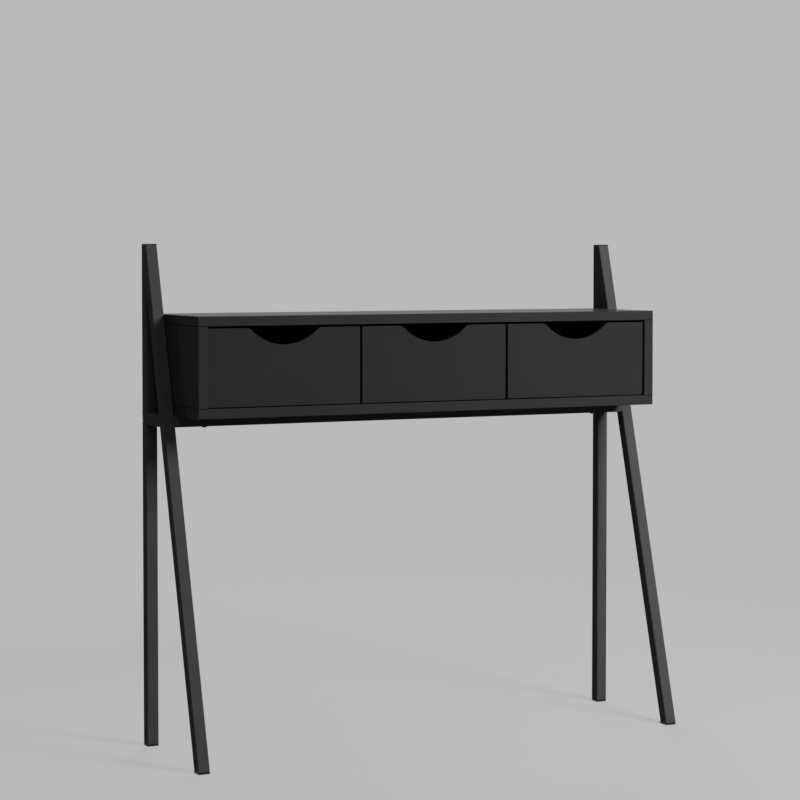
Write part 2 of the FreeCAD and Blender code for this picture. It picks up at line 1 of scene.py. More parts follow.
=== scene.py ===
# %% [markdown]
# # Dressing a slim ladder desk
# The desk is a shallow black box with three drawers, hung between two A-frame sides of square steel tube.
# The construction comes ready made as a fixed frame: every piece is at its real size and place, and rides
# on a named body. Here each piece gets the edges and the finish that the eye expects. Nothing moves.

# %% Load the frame
import json
import math

import bmesh
import bpy
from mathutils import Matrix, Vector

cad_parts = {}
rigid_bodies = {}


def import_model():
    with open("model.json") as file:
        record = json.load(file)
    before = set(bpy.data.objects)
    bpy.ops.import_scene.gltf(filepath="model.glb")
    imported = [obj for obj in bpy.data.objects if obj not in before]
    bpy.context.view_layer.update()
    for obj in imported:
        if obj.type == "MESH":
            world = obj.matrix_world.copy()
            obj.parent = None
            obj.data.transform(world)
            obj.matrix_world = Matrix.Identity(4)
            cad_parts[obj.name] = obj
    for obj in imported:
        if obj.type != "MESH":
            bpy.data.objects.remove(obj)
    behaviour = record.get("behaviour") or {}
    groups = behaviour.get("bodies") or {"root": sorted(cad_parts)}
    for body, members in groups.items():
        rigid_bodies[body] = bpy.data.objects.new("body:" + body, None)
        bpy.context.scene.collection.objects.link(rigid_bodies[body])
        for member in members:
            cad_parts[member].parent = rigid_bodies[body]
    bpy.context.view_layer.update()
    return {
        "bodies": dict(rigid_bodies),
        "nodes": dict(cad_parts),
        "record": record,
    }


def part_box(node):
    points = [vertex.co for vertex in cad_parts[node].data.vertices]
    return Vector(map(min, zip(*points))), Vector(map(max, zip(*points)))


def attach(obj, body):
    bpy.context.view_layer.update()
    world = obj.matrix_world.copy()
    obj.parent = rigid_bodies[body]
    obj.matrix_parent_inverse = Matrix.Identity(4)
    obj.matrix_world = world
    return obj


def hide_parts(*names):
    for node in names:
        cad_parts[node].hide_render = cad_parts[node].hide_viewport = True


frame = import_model()
MM = 0.001
NODES = frame["nodes"]
SLOT_OF = {row["node"]: row["material_slot"] for row in frame["record"]["subparts"]}
BODY_OF = {node: body for body, nodes in frame["record"]["behaviour"]["bodies"].items() for node in nodes}

# %% [markdown]
# ## Two small helpers
# Paint is chosen in sRGB, but the renderer counts in linear light, so one function translates.
# Another adds a node to any tree, for a material or for geometry, with its settings and links in one call.


# %% Colours and nodes
def linear(hex_colour):
    """Linear RGBA of an sRGB colour such as #1d1d1f."""
    shares = [int(hex_colour[start:start + 2], 16) / 255 for start in (1, 3, 5)]
    return (*[s / 12.92 if s <= 0.04045 else ((s + 0.055) / 1.055) ** 2.4 for s in shares], 1.0)


def add(tree, kind, inputs=None, **settings):
    """Adds a node. Inputs go by name or number, and each is a value, a node, a socket or a list of nodes."""
    node = tree.nodes.new(kind)
    for name, value in settings.items():
        setattr(node, name, value)
    pairs = inputs.items() if isinstance(inputs, dict) else enumerate(inputs or [])
    for key, value in pairs:
        for source in value if isinstance(value, list) else [value]:
            if isinstance(source, bpy.types.Node):
                source = source.outputs[0]
            if isinstance(source, bpy.types.NodeSocket):
                tree.links.new(source, node.inputs[key])
            else:
                node.inputs[key].default_value = source
    return node


print("a near-black paint in linear light:", [round(share, 4) for share in linear("#1d1d1f")])


# %% [markdown]
# ## Finishes
# Everything on this desk is black, so the finishes differ in sheen and in relief, and hardly in colour.
# Each one starts from a Principled shader with the values that are the same all over. Then it gets the
# unevenness of its real surface: a fine relief, and a sheen and a tone that drift over larger patches.
# Relief that is too fine for the picture is drawn coarser, and the text or a comment beside it says so.
# Coats and plastics like these have an IOR near 1.5. It is set lower where the real faces hardly mirror the
# pale room at a glancing angle.

# %% A blank finish, and its unevenness
RELIEF_DETAIL, DRIFT_DETAIL = 2.0, 3.0
DRIFT_LOW, DRIFT_HIGH = 0.35, 0.65


def blank(name, roughness, **sockets):
    """A material with a Principled shader, and the place on the piece in metres."""
    material = bpy.data.materials.new(name)
    material.use_nodes = True
    tree = material.node_tree
    tree.nodes.clear()
    shader = add(tree, "ShaderNodeBsdfPrincipled", {"Roughness": roughness})
    for socket, value in sockets.items():
        shader.inputs[socket.replace("_", " ")].default_value = value
    add(tree, "ShaderNodeOutputMaterial", {"Surface": shader})
    place = add(tree, "ShaderNodeTexCoord").outputs["Object"]
    return material, tree, shader, place


def uneven(tree, shader, place, grain, height, patch, roughness, tones):
    """A relief of one grain size, and a roughness and a tone that drift over patches of a larger size."""
    relief = add(tree, "ShaderNodeTexNoise", {"Vector": place, "Scale": 1 / grain, "Detail": RELIEF_DETAIL})
    bump = add(tree, "ShaderNodeBump", {"Height": relief, "Distance": height, "Strength": 1.0})
    tree.links.new(bump.outputs[0], shader.inputs["Normal"])
    drift = add(tree, "ShaderNodeTexNoise", {"Vector": place, "Scale": 1 / patch, "Detail": DRIFT_DETAIL})
    sheen = add(tree, "ShaderNodeMapRange", {"Value": drift, "From Min": DRIFT_LOW, "From Max": DRIFT_HIGH,
                                             "To Min": roughness[0], "To Max": roughness[1]})
    tree.links.new(sheen.outputs[0], shader.inputs["Roughness"])
    tone = add(tree, "ShaderNodeValToRGB", [drift])
    for stop, position, colour in zip(tone.color_ramp.elements, (DRIFT_LOW, DRIFT_HIGH), tones):
        stop.position = position
        stop.color = linear(colour)
    tree.links.new(tone.outputs[0], shader.inputs["Base Color"])
    return tone


# %% [markdown]
# ### Steel tube
# The tubes are powder coated: dry polyester powder is sprayed on and melted in an oven. It flows out to an
# even satin skin with a faint orange peel, and it rounds every arris a little. The real peel is about
# 1.2 mm across. It is drawn at 4 mm, so that it still shows when the desk fills the picture.

# %% Satin powder coat
FINISHES = {}


def powder_coat():
    material, tree, shader, place = blank("satin_powder_coat", 0.45, IOR=1.03)
    uneven(tree, shader, place, grain=4 * MM, height=0.02 * MM, patch=70 * MM,
           roughness=(0.42, 0.48), tones=("#404041", "#434344"))
    return material


FINISHES["frame_steel"] = powder_coat()
print("tubes:", FINISHES["frame_steel"].name)

# %% [markdown]
# ### Boards
# The box is particle board under a skin of black melamine resin, pressed against a matt steel plate. The
# plate leaves a grain of about 0.3 mm, drawn at 3 mm. The front edges carry a band of black plastic, 1 mm
# thick and a shade darker than the faces. The seam behind the band is a tenth of a millimetre wide and is
# drawn at half a millimetre. Where the side panels meet the long ones, a fine dark joint stays open. It is
# about 0.2 mm wide and is drawn at 1.2 mm.

# %% Melamine with a banded front edge
BOX_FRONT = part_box("top_panel")[0].y
EDGE_BAND = 1 * MM
BAND_SEAM = 0.5 * MM
JOINT_HEIGHTS = (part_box("bottom_panel")[1].z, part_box("top_panel")[0].z)
JOINTS_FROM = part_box("right_side_panel")[0].x
JOINT = 1.2 * MM


def banded_board():
    material, tree, shader, place = blank("matt_melamine_board", 0.18, IOR=1.03)
    face = uneven(tree, shader, place, grain=3 * MM, height=0.012 * MM, patch=110 * MM,
                  roughness=(0.17, 0.19), tones=("#2f2f30", "#313132"))
    spot = add(tree, "ShaderNodeSeparateXYZ", [place]).outputs
    on_band = add(tree, "ShaderNodeMath", [spot["Y"], BOX_FRONT + EDGE_BAND], operation="LESS_THAN")
    on_seam = add(tree, "ShaderNodeMath", [spot["Y"], BOX_FRONT + EDGE_BAND, BAND_SEAM / 2],
                  operation="COMPARE")

    # the joints lie at two heights, and only within the thickness of the side panels
    out = add(tree, "ShaderNodeMath", [spot["X"]], operation="ABSOLUTE")
    on_side = add(tree, "ShaderNodeMath", [out, JOINTS_FROM], operation="GREATER_THAN")
    near = [add(tree, "ShaderNodeMath", [spot["Z"], height, JOINT / 2], operation="COMPARE")
            for height in JOINT_HEIGHTS]
    at_joint = add(tree, "ShaderNodeMath", near, operation="MAXIMUM")
    on_joint = add(tree, "ShaderNodeMath", [at_joint, on_side], operation="MULTIPLY")
    dark = add(tree, "ShaderNodeMath", [on_seam, on_joint], operation="MAXIMUM")

    banded = add(tree, "ShaderNodeMix", {0: on_band, 6: face, 7: linear("#2d2d2e")}, data_type="RGBA")
    seamed = add(tree, "ShaderNodeMix", {0: dark, 6: banded.outputs[2], 7: linear("#0d0d0d")},
                 data_type="RGBA")
    tree.links.new(seamed.outputs[2], shader.inputs["Base Color"])
    return material


FINISHES["box_board"] = banded_board()
print("edge band on the face at", round(BOX_FRONT / MM, 1), "mm")
print("joints at heights of", [round(height / MM, 1) for height in JOINT_HEIGHTS], "mm")

# %% [markdown]
# ### Drawers
# A scooped edge can't be banded neatly, so the fronts are fibreboard with sprayed lacquer, matt and without
# grain. Behind their eased arris the cut edges are painted darker than the faces: partly the duller lacquer
# that cut fibreboard takes, and partly painted shade, as in the scoops and the gaps round the fronts. The
# drawer boxes are plainer: black paper foil on thin board, and bottoms of painted hardboard whose pressed
# fibres show as a leathery mottle.

# %% Lacquer, foil and hardboard
FRONT_FACE, FRONT_BACK = [corner.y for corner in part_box("centre_drawer_front")]
FACE_COAT = 1 * MM


def lacquered_front():
    material, tree, shader, place = blank("matt_lacquered_front", 0.45, IOR=1.1)
    # spray grain of about 1 mm, drawn at 5 mm
    face = uneven(tree, shader, place, grain=5 * MM, height=0.012 * MM, patch=90 * MM,
                  roughness=(0.43, 0.47), tones=("#282829", "#2a2a2b"))
    # the cut edges within the board's thickness get painted shade, near-black and darker than the lacquered
    # face
    depth = add(tree, "ShaderNodeSeparateXYZ", [place]).outputs["Y"]
    core, half_core = (FRONT_FACE + FRONT_BACK) / 2, (FRONT_BACK - FRONT_FACE) / 2 - FACE_COAT
    painted_shade_on_cut = add(tree, "ShaderNodeMath", [depth, core, half_core], operation="COMPARE")
    front_with_painted_shade = add(tree, "ShaderNodeMix", {0: painted_shade_on_cut, 6: face, 7: linear("#0e0e0e")}, data_type="RGBA")
    tree.links.new(front_with_painted_shade.outputs[2], shader.inputs["Base Color"])
    return material


def foiled_board():
    material, tree, shader, place = blank("black_foil_board", 0.6, IOR=1.3)
    # embossed pores of about 0.5 mm, drawn at 3 mm
    uneven(tree, shader, place, grain=3 * MM, height=0.02 * MM, patch=60 * MM,
           roughness=(0.55, 0.66), tones=("#242425", "#272728"))
    return material


def hardboard():
    material, tree, shader, place = blank("black_hardboard", 0.6, IOR=1.3)
    # clumps of pressed fibre, at their real 6 mm
    uneven(tree, shader, place, grain=6 * MM, height=0.06 * MM, patch=40 * MM,
           roughness=(0.5, 0.68), tones=("#1e1e1e", "#252525"))
    return material


FINISHES["drawer_front"] = lacquered_front()
FINISHES["drawer_board"] = foiled_board()
FINISHES["thin_board"] = hardboard()
print("front boards from", round(FRONT_FACE / MM, 1), "to", round(FRONT_BACK / MM, 1), "mm")

# %% [markdown]
# ### Fittings
# Caps and glides are polyethylene, with the fine grain of a spark-eroded mould. Bolts and screws are
# blackened steel, which keeps a dull metal gleam. What sits inside the box is left bare: zinc on the cam
# locks, and planed beech, with its streaks along the length, on the runners and dowels.

# %% Plastic, blackened steel, zinc and beech
BEECH_STRETCH = (1.0, 0.06, 1.0)


def moulded_plastic():
    material, tree, shader, place = blank("moulded_polyethylene", 0.48, IOR=1.3)
    # eroded grain of about 0.2 mm, drawn at 1.5 mm
    uneven(tree, shader, place, grain=1.5 * MM, height=0.03 * MM, patch=20 * MM,
           roughness=(0.44, 0.54), tones=("#1b1b1c", "#1e1e1f"))
    return material


def black_oxide():
    material, tree, shader, place = blank("black_oxide_steel", 0.4, Metallic=1.0)
    # oxide grain of about 0.1 mm, drawn at 1 mm
    uneven(tree, shader, place, grain=1 * MM, height=0.01 * MM, patch=8 * MM,
           roughness=(0.34, 0.46), tones=("#2a2a2c", "#333335"))
    return material


def zinc_plate():
    material, tree, shader, place = blank("bright_zinc_plate", 0.3, Metallic=1.0)
    # zinc crystals of about 0.2 mm, drawn at 1 mm
    uneven(tree, shader, place, grain=1 * MM, height=0.01 * MM, patch=6 * MM,
           roughness=(0.24, 0.38), tones=("#c6c9cb", "#d6d8da"))
    return material


def planed_beech():
    material, tree, shader, place = blank("planed_beech", 0.5, IOR=1.5)
    # rays at their real 1.2 mm, stretched along the length
    streak = add(tree, "ShaderNodeMapping", {"Vector": place, "Scale": BEECH_STRETCH})
    uneven(tree, shader, streak.outputs[0], grain=1.2 * MM, height=0.04 * MM, patch=4 * MM,
           roughness=(0.45, 0.6), tones=("#b98a5c", "#cfa677"))
    return material


FINISHES["beech"] = planed_beech()
FINISHES["black_plastic"] = moulded_plastic()
FINISHES["black_fastener"] = black_oxide()
FINISHES["zinc_steel"] = zinc_plate()
for node, slot in SLOT_OF.items():
    NODES[node].material_slots[0].material = FINISHES[slot]
print("finishes:", ", ".join(material.name for material in FINISHES.values()))


# %% [markdown]
# ## Finished pieces
# A piece is built in place, with its size in its mesh. Any modifiers on it are turned into plain geometry,
# then it rides on its body and stands in for the plain node. The same last steps serve every piece below.


# %% From modifiers to a finished piece
def settled(piece):
    """Turns a piece with its modifiers into a plain mesh."""
    graph = bpy.context.evaluated_depsgraph_get()
    mesh = bpy.data.meshes.new_from_object(piece.evaluated_get(graph))
    piece.modifiers.clear()
    piece.data = mesh
    return piece


def stand_in(piece, *nodes):
    """The piece rides with its nodes' body, and is shown in their place."""
    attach(piece, BODY_OF[nodes[0]])
    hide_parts(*nodes)


def new_piece(name, mesh):
    piece = bpy.data.objects.new(name, mesh)
    bpy.context.scene.collection.objects.link(piece)
    return piece


# %% [markdown]
# ## Easing the edges
# No board, tube or cap has a perfectly sharp arris, and that fine round is what catches the light along an
# edge. A Bevel modifier would also round every bore and groove, so the outer arrises are picked first: those
# where both faces lie on the sides of the solid's own box. Only they are bevelled. Weighted normals then keep
# the wide faces flat.

# %% Pick the outer arrises of each solid
MERGE = 0.005 * MM
SQUARE_ON = 0.999


def solids_of(shape):
    """Sets of faces, one for each separate solid of a mesh."""
    waiting = set(shape.faces)
    while waiting:
        solid = set()
        edge_of_solid = [next(iter(waiting))]
        while edge_of_solid:
            face = edge_of_solid.pop()
            if face in solid:
                continue
            solid.add(face)
            edge_of_solid += [other for edge in face.edges for other in edge.link_faces]
        waiting -= solid
        yield solid


def outer_sides(solid):
    """The faces of a solid that lie on the sides of its own box, with the axis that each one faces."""
    points = [vert.co for face in solid for vert in face.verts]
    low = [min(point[axis] for point in points) for axis in range(3)]
    high = [max(point[axis] for point in points) for axis in range(3)]
    sides = {}
    for face in solid:
        axis = max(range(3), key=lambda number: abs(face.normal[number]))
        place = face.calc_center_median()[axis]
        off_side = min(abs(place - low[axis]), abs(place - high[axis]))
        if abs(face.normal[axis]) > SQUARE_ON and off_side < MERGE:
            sides[face] = axis
    return sides


def arrises(shape, upright=None):
    """Outer arrises of all solids, or only the upright ones, or only the others."""
    found = []
    for solid in solids_of(shape):
        sides = outer_sides(solid)
        for edge in {edge for face in sides for edge in face.edges}:
            faces = [face for face in edge.link_faces if face in sides]
            if len(faces) == 2 and sides[faces[0]] != sides[faces[1]]:
                is_upright = 2 not in (sides[faces[0]], sides[faces[1]])
                if upright is None or upright == is_upright:
                    found.append(edge)
    return found


# %% Bevel and shade
SHARP = math.radians(35)
EASING_SEGMENTS = 3


def round_over(shape, edges, width):
    bmesh.ops.bevel(shape, geom=edges, offset=width, offset_type="OFFSET", segments=EASING_SEGMENTS,
                    profile=0.5, affect="EDGES", clamp_overlap=True)


def shade(shape):
    """Smooth shading between faces that meet at a small angle."""
    for face in shape.faces:
        face.smooth = True
    for edge in shape.edges:
        edge.smooth = edge.is_manifold and edge.calc_face_angle() < SHARP


def flat_faced(piece):
    """The piece with normals that keep its wide faces flat."""
    piece.modifiers.new("flat faces", "WEIGHTED_NORMAL").keep_sharp = True
    return settled(piece)


# %% Ease one node
COPLANAR = math.radians(0.5)


def eased(node, width, corner=None):
    """A copy of a node with its outer arrises rounded, and with its upright corners rounded more if asked."""
    shape = bmesh.new()
    shape.from_mesh(NODES[node].data)
    bmesh.ops.remove_doubles(shape, verts=shape.verts, dist=MERGE)
    bmesh.ops.dissolve_limit(shape, angle_limit=COPLANAR, verts=shape.verts, edges=shape.edges)
    if corner:
        round_over(shape, arrises(shape, upright=True), corner)
        shape.normal_update()
        round_over(shape, arrises(shape, upright=False), width)
    elif width:
        round_over(shape, arrises(shape), width)
    shape.normal_update()
    shade(shape)
    loose = sum(not edge.is_manifold for edge in shape.edges)
    mesh = bpy.data.meshes.new(node)
    shape.to_mesh(mesh)
    shape.free()
    mesh.materials.append(FINISHES[SLOT_OF[node]])
    stand_in(flat_faced(new_piece(f"{node}_eased", mesh)), node)
    return loose


# %% Ease the tubes, boards and caps
TUBE_CORNER, CAP_EASING = 2 * MM, 0.6 * MM
EASING = {"frame_steel": 0, "box_board": 0.9 * MM, "drawer_board": 0.5 * MM, "thin_board": 0.2 * MM,
          "beech": 0.5 * MM}
HIDDEN = ("left_rail_spigot", "right_rail_spigot", "box_dowels")
for node, slot in SLOT_OF.items():
    if slot in EASING and node not in HIDDEN:
        loose_edges = eased(node, EASING[slot])
    elif slot == "black_plastic":
        loose_edges = eased(node, CAP_EASING, corner=TUBE_CORNER)
    else:
        continue
    if loose_edges:
        print(node, "has loose edges:", loose_edges)


# %% [markdown]
# ## Geometry trees
# Geometry Nodes suit what follows a rule or repeats. A tree is a recipe with named sizes, so one tree makes
# all three drawer fronts and another all the bolts. Each tree ends by making its copies real and painting
# them, and the result is turned into a plain mesh.


# %% Open, close and run a tree
def new_tree(name, sizes):
    """A geometry tree with named inputs, and those inputs by name."""
    tree = bpy.data.node_groups.new(name, "GeometryNodeTree")
    for size, kind in {"Geometry": "Geometry", **sizes, "Finish": "Material"}.items():
        tree.interface.new_socket(size, in_out="INPUT", socket_type=f"NodeSocket{kind}")
    tree.interface.new_socket("Geometry", in_out="OUTPUT", socket_type="NodeSocketGeometry")
    return tree, add(tree, "NodeGroupInput").outputs


def close_tree(tree, geometry, finish):
    real = add(tree, "GeometryNodeRealizeInstances", {"Geometry": geometry})
    painted = add(tree, "GeometryNodeSetMaterial", {"Geometry": real, "Material": finish})
    add(tree, "NodeGroupOutput", {"Geometry": painted})
    return tree


def grown(name, tree, mesh, sizes):
    """Runs a tree on a mesh and gives the result as a piece."""
    piece = new_piece(name, mesh)
    modifier = piece.modifiers.new(tree.name, "NODES")
    modifier.node_group = tree
    for socket in tree.interface.items_tree:
        if socket.in_out == "INPUT" and socket.name in sizes:
            modifier[socket.identifier] = sizes[socket.name]
    return settled(piece)


# %% [markdown]
# ## Drawer fronts
# Each front has a half-moon finger scoop in its top edge, and the scoop's ends flare into the edge. The
# outline is three arcs that meet without a kink. So the tree needs no drawn curve: it takes one row of
# columns and works out each column's height from its distance to the middle, first along the flare's arc,
# then along the scoop's. The sheet is then made as thick as the board.


# %% The outline of a scoop
def scooped_edge(tree, size, across):
    """The height of a front's top edge at each distance from its middle."""
    # half the scoop's width at the top, and the place where its two arcs meet
    arm = add(tree, "ShaderNodeMath", [size["Scoop Radius"], size["Flare Radius"]], operation="ADD")
    drop = add(tree, "ShaderNodeMath", [arm, size["Scoop Depth"]], operation="SUBTRACT")
    both = add(tree, "ShaderNodeMath", [arm, drop], operation="ADD")
    square = add(tree, "ShaderNodeMath", [both, size["Scoop Depth"]], operation="MULTIPLY")
    half = add(tree, "ShaderNodeMath", [square], operation="SQRT")
    share = add(tree, "ShaderNodeMath", [size["Scoop Radius"], arm], operation="DIVIDE")
    meeting = add(tree, "ShaderNodeMath", [half, share], operation="MULTIPLY")

    # how high each arc stands over its own centre
    inward = add(tree, "ShaderNodeMath", [half, across], operation="SUBTRACT")
    rises = []
    for radius, offset in ((size["Scoop Radius"], across), (size["Flare Radius"], inward)):
        sine = add(tree, "ShaderNodeMath", [offset, radius], operation="DIVIDE", use_clamp=True)
        angle = add(tree, "ShaderNodeMath", [sine], operation="ARCSINE")
        cosine = add(tree, "ShaderNodeMath", [angle], operation="COSINE")
        rises.append(add(tree, "ShaderNodeMath", [cosine, radius], operation="MULTIPLY"))

    # the top edge, from the scoop's arc and the flare's
    low = add(tree, "ShaderNodeMath", [size["Height"], size["Scoop Depth"]], operation="SUBTRACT")
    centre = add(tree, "ShaderNodeMath", [low, size["Scoop Radius"]], operation="ADD")
    scoop = add(tree, "ShaderNodeMath", [centre, rises[0]], operation="SUBTRACT")
    flare_centre = add(tree, "ShaderNodeMath", [size["Height"], size["Flare Radius"]], operation="SUBTRACT")
    flare = add(tree, "ShaderNodeMath", [flare_centre, rises[1]], operation="ADD")
    inside = add(tree, "FunctionNodeCompare", [across, meeting], operation="LESS_THAN")
    return add(tree, "GeometryNodeSwitch", [inside, flare, scoop], input_type="FLOAT")


# %% A tree for the scooped board
def scooped_front_tree():
    tree, size = new_tree("scooped_front", {
        "Width": "Float", "Height": "Float", "Thickness": "Float", "Scoop Depth": "Float",
        "Scoop Radius": "Float", "Flare Radius": "Float", "Columns": "Int", "Place": "Vector"})
    grid = add(tree, "GeometryNodeMeshGrid", {"Size X": size["Width"], "Size Y": size["Height"],
                                              "Vertices X": size["Columns"], "Vertices Y": 2})
    spot = add(tree, "ShaderNodeSeparateXYZ", [add(tree, "GeometryNodeInputPosition")])
    across = add(tree, "ShaderNodeMath", [spot.outputs["X"]], operation="ABSOLUTE")
    edge = scooped_edge(tree, size, across)
    is_top = add(tree, "FunctionNodeCompare", [spot.outputs["Y"], 0.0], operation="GREATER_THAN")
    height = add(tree, "GeometryNodeSwitch", [is_top, 0.0, edge], input_type="FLOAT")

    # the sheet stands up at the board's back, and grows forward to its thickness
    point = add(tree, "ShaderNodeCombineXYZ", [spot.outputs["X"], 0.0, height])
    sheet = add(tree, "GeometryNodeSetPosition", {"Geometry": grid, "Position": point,
                                                  "Offset": size["Place"]})
    board = add(tree, "GeometryNodeExtrudeMesh", {"Mesh": sheet, "Offset Scale": size["Thickness"],
                                                  "Individual": False})
    back = add(tree, "GeometryNodeFlipFaces", {"Mesh": sheet})
    whole = add(tree, "GeometryNodeJoinGeometry", {"Geometry": [board, back]})
    closed = add(tree, "GeometryNodeMergeByDistance", {"Geometry": whole, "Distance": MERGE})
    return close_tree(tree, closed, size["Finish"])


front_tree = scooped_front_tree()
print(front_tree.name, "nodes:", len(front_tree.nodes))

# %% [markdown]
# The lacquer rounds all edges of a front, so a Bevel modifier follows the tree. The drawer's sides and its
# bottom are let into the back of the front, and Boolean modifiers cut those housings to the pieces' own
# boxes. The scoop's sizes are the object's own, and the rest is read from the frame.

# %% Cutters for the housings
CUT_PAST = 2 * MM


def cutter(name, node, back):
    """A block as large as a node, drawn out past the back of the front that it is let into."""
    low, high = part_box(node)
    mesh = bpy.data.meshes.new(name)
    shape = bmesh.new()
    bmesh.ops.create_cube(shape, size=1.0)
    for vert in shape.verts:
        corner = [(low, high)[side > 0][axis] for axis, side in enumerate(vert.co)]
        corner[1] = low.y if vert.co.y < 0 else back + CUT_PAST
        vert.co = corner
    shape.to_mesh(mesh)
    shape.free()
    return new_piece(name, mesh)


# %% Three drawer fronts
SCOOP_SIZES = {"Scoop Depth": 30.9 * MM, "Scoop Radius": 91 * MM, "Flare Radius": 17.5 * MM}
FRONT_COLUMNS = 181
FRONT_EASING = 0.9 * MM


def smoothed(piece):
    """The piece with soft shading over its small angles and flat wide faces."""
    shape = bmesh.new()
    shape.from_mesh(piece.data)
    shade(shape)
    shape.to_mesh(piece.data)
    shape.free()
    return flat_faced(piece)


def scooped_front(drawer, tree):
    node = f"{drawer}_front"
    low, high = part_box(node)
    sizes = {"Width": high.x - low.x, "Height": high.z - low.z, "Thickness": high.y - low.y,
             "Columns": FRONT_COLUMNS, "Place": ((low.x + high.x) / 2, high.y, low.z),
             "Finish": FINISHES["drawer_front"], **SCOOP_SIZES}
    front = grown(f"{node}_scooped", tree, bpy.data.meshes.new(node), sizes)
    bevel = front.modifiers.new("eased", "BEVEL")
    bevel.width = FRONT_EASING
    bevel.segments = EASING_SEGMENTS
    bevel.angle_limit = SHARP
    cutters = []
    for part in ("left_side", "right_side", "bottom"):
        block = cutter(f"{drawer}_{part}_housing", f"{drawer}_{part}", high.y)
        housing = front.modifiers.new(part, "BOOLEAN")
        housing.operation = "DIFFERENCE"
        housing.object = block
        cutters.append(block)
    settled(front)
    for block in cutters:
        bpy.data.objects.remove(block)
    stand_in(smoothed(front), node)
    return front


for drawer in sorted(body for body in frame["bodies"] if body.endswith("_drawer")):
    front = scooped_front(drawer, front_tree)
    print(front.name, "faces:", len(front.data.polygons))


# %% [markdown]
# ## Bolts and screws
# A button-head bolt goes through each rear post into the end of the rear rail, and four pan-head screws come
# up through the rails into the box. One tree makes both kinds. It wraps a flat grid round the screw's axis:
# the grid's rows become rings, and two drawn curves give each ring its radius and its height. The last rings
# go down into the recess, whose outline is a formula: straight sides at one distance from the axis give a
# hexagon, and straight sides cut by a narrower width give a cross.

# %% Rings of a head
# shares of the head's radius, or of the recess from the marked ring on, and shares of the head's height
HEAD_RINGS = (
    (0.0, 0.0), (0.5, 0.0), (0.94, 0.0), (1.0, 0.08), (1.0, 0.2), (0.97, 0.4), (0.9, 0.6), (0.8, 0.77),
    (0.68, 0.9), (0.6, 0.97), (0.55, 1.0),
    (1.0, 1.0), (0.94, 0.93), (0.9, 0.5), (0.86, 0.3), (0.4, 0.26), (0.0, 0.24))
FIRST_RECESS_RING = 11
print("rings of a head:", len(HEAD_RINGS), "of them in the recess:", len(HEAD_RINGS) - FIRST_RECESS_RING)

# %% The outline of a recess
LEAST_SINE = 0.001


def recess_outline(tree, size, turn):
    """The distance of the recess's edge from the axis at each angle."""
    sector = add(tree, "ShaderNodeMath", [math.tau, size["Recess Sides"]], operation="DIVIDE")
    half_sector = add(tree, "ShaderNodeMath", [sector, 0.5], operation="MULTIPLY")
    within = add(tree, "ShaderNodeMath", [turn, sector], operation="FLOORED_MODULO")
    off = add(tree, "ShaderNodeMath", [within, half_sector], operation="SUBTRACT")
    cosine = add(tree, "ShaderNodeMath", [off], operation="COSINE")
    sine = add(tree, "ShaderNodeMath", [off], operation="SINE")
    positive_sine = add(tree, "ShaderNodeMath", [sine], operation="ABSOLUTE")
    some_sine = add(tree, "ShaderNodeMath", [positive_sine, LEAST_SINE], operation="MAXIMUM")
    end = add(tree, "ShaderNodeMath", [size["Recess Reach"], cosine], operation="DIVIDE")
    side = add(tree, "ShaderNodeMath", [size["Recess Half Width"], some_sine], operation="DIVIDE")
    return add(tree, "ShaderNodeMath", [end, side], operation="MINIMUM")


# %% The skin of a head
STEPS_ROUND = 72


def head_skin(tree, size):
    """A grid wrapped round the axis, with every row on its ring."""
    last_ring = len(HEAD_RINGS) - 1
    grid = add(tree, "GeometryNodeMeshGrid", {"Size X": 1.0, "Size Y": 1.0, "Vertices X": STEPS_ROUND + 1,
                                              "Vertices Y": last_ring + 1})
    wrap = add(tree, "ShaderNodeSeparateXYZ", [grid.outputs["UV Map"]])
    turn = add(tree, "ShaderNodeMath", [wrap.outputs["X"], math.tau], operation="MULTIPLY")
    radius_share = add(tree, "ShaderNodeFloatCurve", {"Value": wrap.outputs["Y"]})
    height_share = add(tree, "ShaderNodeFloatCurve", {"Value": wrap.outputs["Y"]})
    for column, curve in enumerate((radius_share, height_share)):
        points = curve.mapping.curves[0].points
        while len(points) < len(HEAD_RINGS):
            points.new(0.5, 0.5)
        for number, ring in enumerate(HEAD_RINGS):
            points[number].location = (number / last_ring, ring[column])
            points[number].handle_type = "VECTOR"
        curve.mapping.update()

    # the last rings take their radius from the recess, the others from the head
    outline = recess_outline(tree, size, turn)
    in_recess = add(tree, "FunctionNodeCompare", [wrap.outputs["Y"], (FIRST_RECESS_RING - 0.5) / last_ring],
                    operation="GREATER_THAN")
    full = add(tree, "GeometryNodeSwitch", [in_recess, size["Head Radius"], outline], input_type="FLOAT")
    radius = add(tree, "ShaderNodeMath", [full, radius_share], operation="MULTIPLY")
    height = add(tree, "ShaderNodeMath", [size["Head Height"], height_share], operation="MULTIPLY")
    flat = [add(tree, "ShaderNodeMath", [add(tree, "ShaderNodeMath", [turn], operation=wave), radius],
                operation="MULTIPLY") for wave in ("COSINE", "SINE")]
    point = add(tree, "ShaderNodeCombineXYZ", [*flat, height])
    bent = add(tree, "GeometryNodeSetPosition", {"Geometry": grid, "Position": point})
    return add(tree, "GeometryNodeMergeByDistance", {"Geometry": bent, "Distance": MERGE})


# %% A tree for the bolts and screws
SHANK_STEPS = 24
SHANK_OVERLAP = 0.2 * MM


